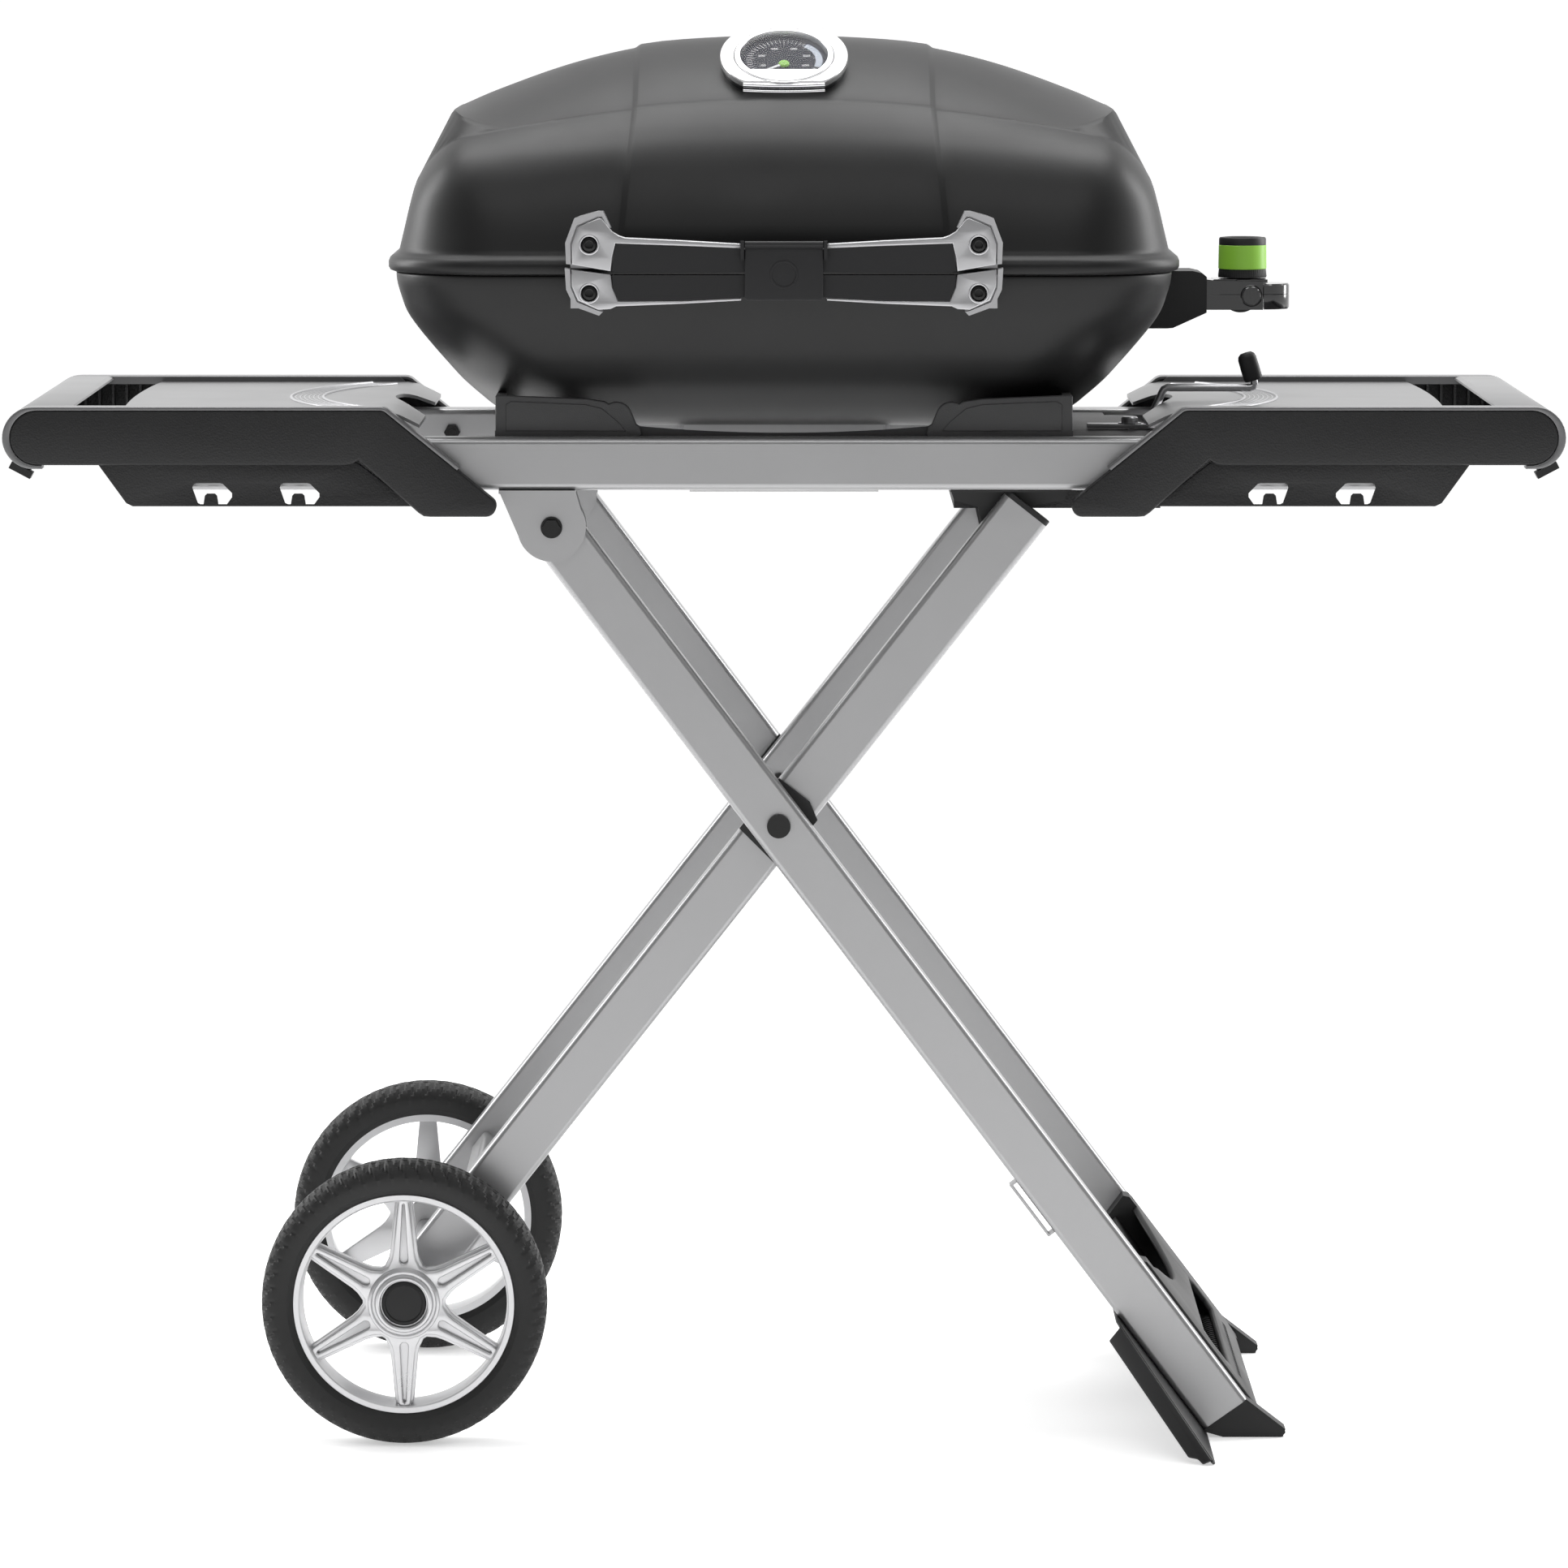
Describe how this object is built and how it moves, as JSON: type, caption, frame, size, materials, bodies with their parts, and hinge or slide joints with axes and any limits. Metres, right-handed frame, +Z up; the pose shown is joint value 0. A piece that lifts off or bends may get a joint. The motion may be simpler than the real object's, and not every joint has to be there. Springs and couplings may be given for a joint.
{
  "type": "gas barbecue grill",
  "caption": "Portable gas barbecue with a domed lid and bowl on a folding scissor-leg cart with side shelves and wheels.",
  "frame": {"origin": "on the floor, under the middle of the grill", "axes": "+X to the right as seen from the handle side, +Y away from the handle side, +Z up"},
  "size_m": [1.18, 0.58, 1.0758],
  "materials": {
    "cast_black": "matte black powder-coated casting, fine grain",
    "handle_silver": "satin die casting",
    "grip_dark": "matte dark moulded plastic",
    "black_bolt": "black oxide",
    "zinc_steel": "plain steel",
    "stainless": "brushed stainless sheet",
    "ceramic_white": "glazed insulator",
    "gloss_black": "gloss black moulded plastic",
    "brass": "turned brass",
    "saddle_grey": "dark grey textured plastic",
    "silver_paint": "satin silver powder coat",
    "tray_grey": "glossy silver-grey moulded plastic",
    "cheek_black": "black textured moulded plastic",
    "chrome": "bright chrome plate",
    "dial_face": "dark blue-grey printed face",
    "lens_clear": "clear",
    "needle_white": "white painted pointer",
    "knob_green": "bright green moulded ring",
    "pan_silver": "pressed light sheet",
    "grate_iron": "porcelain-coated cast iron",
    "foot_black": "black moulded plastic",
    "plate_black": "black powder-coated sheet",
    "rim_silver": "silver painted moulded rim",
    "tyre_black": "ribbed hard rubber"
  },
  "bodies": {
    "cart": {"bowl": "cast_black", "bowl_handle_castings": "handle_silver", "bowl_grip": "grip_dark", "bowl_handle_bolts": "black_bolt", "hinge_pins": "zinc_steel", "burner": "stainless", "heat_plate": "stainless", "igniter_electrode": "ceramic_white", "regulator_bracket": "cast_black", "regulator_housing": "gloss_black", "gas_inlet": "brass", "pan_runners": "zinc_steel", "saddles": "saddle_grey", "front_rail": "silver_paint", "rear_rail": "silver_paint", "cross_members": "silver_paint", "frame_bolts": "black_bolt", "pivot_brackets": "silver_paint", "lock_housing": "cheek_black", "left_tray": "tray_grey", "right_tray": "tray_grey", "left_front_cheek": "cheek_black", "left_rear_cheek": "cheek_black", "right_front_cheek": "cheek_black", "right_rear_cheek": "cheek_black", "hook_panels": "cheek_black", "end_bumpers": "foot_black"},
    "lid": {"lid": "cast_black", "lid_handle_castings": "handle_silver", "lid_grip": "grip_dark", "lid_handle_bolts": "black_bolt", "thermometer_bezel": "chrome", "thermometer_dial": "dial_face", "thermometer_lens": "lens_clear"},
    "needle": {"thermometer_needle": "needle_white"},
    "latch": {"handle_latch": "grip_dark"},
    "knob": {"control_knob": "foot_black", "knob_band": "knob_green"},
    "igniter": {"igniter_button": "gloss_black"},
    "lever": {"lock_lever": "zinc_steel", "lever_grip": "foot_black"},
    "pan": {"drip_pan": "pan_silver"},
    "grate_left": {"left_grate": "grate_iron"},
    "grate_right": {"right_grate": "grate_iron"},
    "outer_legs": {"front_outer_leg": "silver_paint", "rear_outer_leg": "silver_paint", "foot_caps": "foot_black", "foot_moulding": "foot_black", "foot_plate": "plate_black", "crossing_bolts": "black_bolt"},
    "inner_legs": {"front_inner_leg": "silver_paint", "rear_inner_leg": "silver_paint", "axle": "zinc_steel", "leg_brace": "silver_paint", "leg_pads": "foot_black"},
    "slide_carriage": {"carriage": "plate_black"},
    "front_wheel": {"front_rim": "rim_silver", "front_tyre": "tyre_black"},
    "rear_wheel": {"rear_rim": "rim_silver", "rear_tyre": "tyre_black"}
  },
  "joints": [
    {"name": "lid_hinge", "type": "hinge", "parent": "cart", "child": "lid", "pos_m": [0, 0.212, 0.902], "axis": [-1, 0, 0], "range_deg": [0, 95]},
    {"name": "needle_turn", "type": "hinge", "parent": "lid", "child": "needle", "pos_m": [0, -0.09033, 1.04839], "axis": [0, 0.515, -0.8572], "range_deg": [0, 248]},
    {"name": "latch_flip", "type": "hinge", "parent": "lid", "child": "latch", "pos_m": [0, -0.242, 0.9175], "axis": [-1, 0, 0], "range_deg": [0, 75]},
    {"name": "knob_turn", "type": "hinge", "parent": "cart", "child": "knob", "pos_m": [0.357, 0, 0.895], "axis": [0, 0, 1], "range_deg": [0, 270]},
    {"name": "igniter_push", "type": "slide", "parent": "cart", "child": "igniter", "axis": [0, 1, 0], "range_m": [0, 0.003], "stiffness_N_per_m": 600},
    {"name": "lever_swing", "type": "hinge", "parent": "cart", "child": "lever", "pos_m": [0.268, -0.04, 0.767], "axis": [0, 0, 1], "range_deg": [0, 50]},
    {"name": "pan_slide", "type": "slide", "parent": "cart", "child": "pan", "axis": [0, -1, 0], "range_m": [0, 0.09]},
    {"name": "left_grate_lift", "type": "slide", "parent": "cart", "child": "grate_left", "axis": [0, 0, 1], "range_m": [0, 0.012]},
    {"name": "right_grate_lift", "type": "slide", "parent": "cart", "child": "grate_right", "axis": [0, 0, 1], "range_m": [0, 0.012]},
    {"name": "leg_fold", "type": "hinge", "parent": "cart", "child": "outer_legs", "pos_m": [-0.17612, 0, 0.701], "axis": [0, -1, 0], "range_deg": [0, 43]},
    {"name": "inner_fold", "type": "hinge", "parent": "outer_legs", "child": "inner_legs", "pos_m": [-0.004, 0, 0.47259], "axis": [0, -1, 0], "range_deg": [-86.5, 0.5]},
    {"name": "carriage_turn", "type": "hinge", "parent": "inner_legs", "child": "slide_carriage", "pos_m": [0.16812, 0, 0.701], "axis": [0, -1, 0], "range_deg": [-0.5, 43.5]},
    {"name": "front_wheel_roll", "type": "hinge", "parent": "inner_legs", "child": "front_wheel", "pos_m": [-0.29012, -0.1955, 0.109], "axis": [0, 1, 0], "continuous": true},
    {"name": "rear_wheel_roll", "type": "hinge", "parent": "inner_legs", "child": "rear_wheel", "pos_m": [-0.29012, 0.1955, 0.109], "axis": [0, 1, 0], "continuous": true}
  ],
  "couplings": [
    {"joint": "inner_fold", "follows": "leg_fold", "ratio": -2},
    {"joint": "carriage_turn", "follows": "leg_fold", "ratio": 1}
  ]
}
